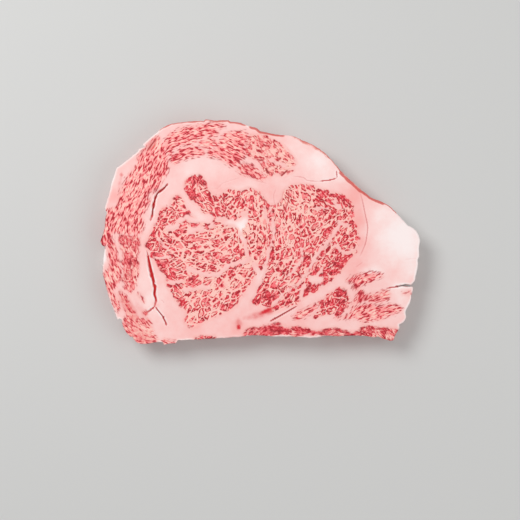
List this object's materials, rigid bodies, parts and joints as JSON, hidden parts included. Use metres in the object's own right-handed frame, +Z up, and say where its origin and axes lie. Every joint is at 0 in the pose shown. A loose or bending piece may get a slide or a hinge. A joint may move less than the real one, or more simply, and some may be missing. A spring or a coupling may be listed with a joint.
{
  "type": "raw marbled beef steak",
  "caption": "Raw, thick, heavily marbled beef steak sawn across the rib end of the loin, with pale fat seams, a fat cap and an opened seam, lying flat.",
  "frame": {"origin": "middle of the slice's bounding box, on the face it rests on", "axes": "+X along the longest side, from the ragged flank edge to the fat shoulder, +Y from the straight rib side to the round fat cap, +Z up through the thickness"},
  "size_m": [0.2758, 0.1946, 0.0279],
  "materials": {
    "marbled_beef": "raw marbled meat, moist, with pink lean strands in pale fat"
  },
  "bodies": {
    "root": {"steak": "marbled_beef"}
  },
  "joints": []
}
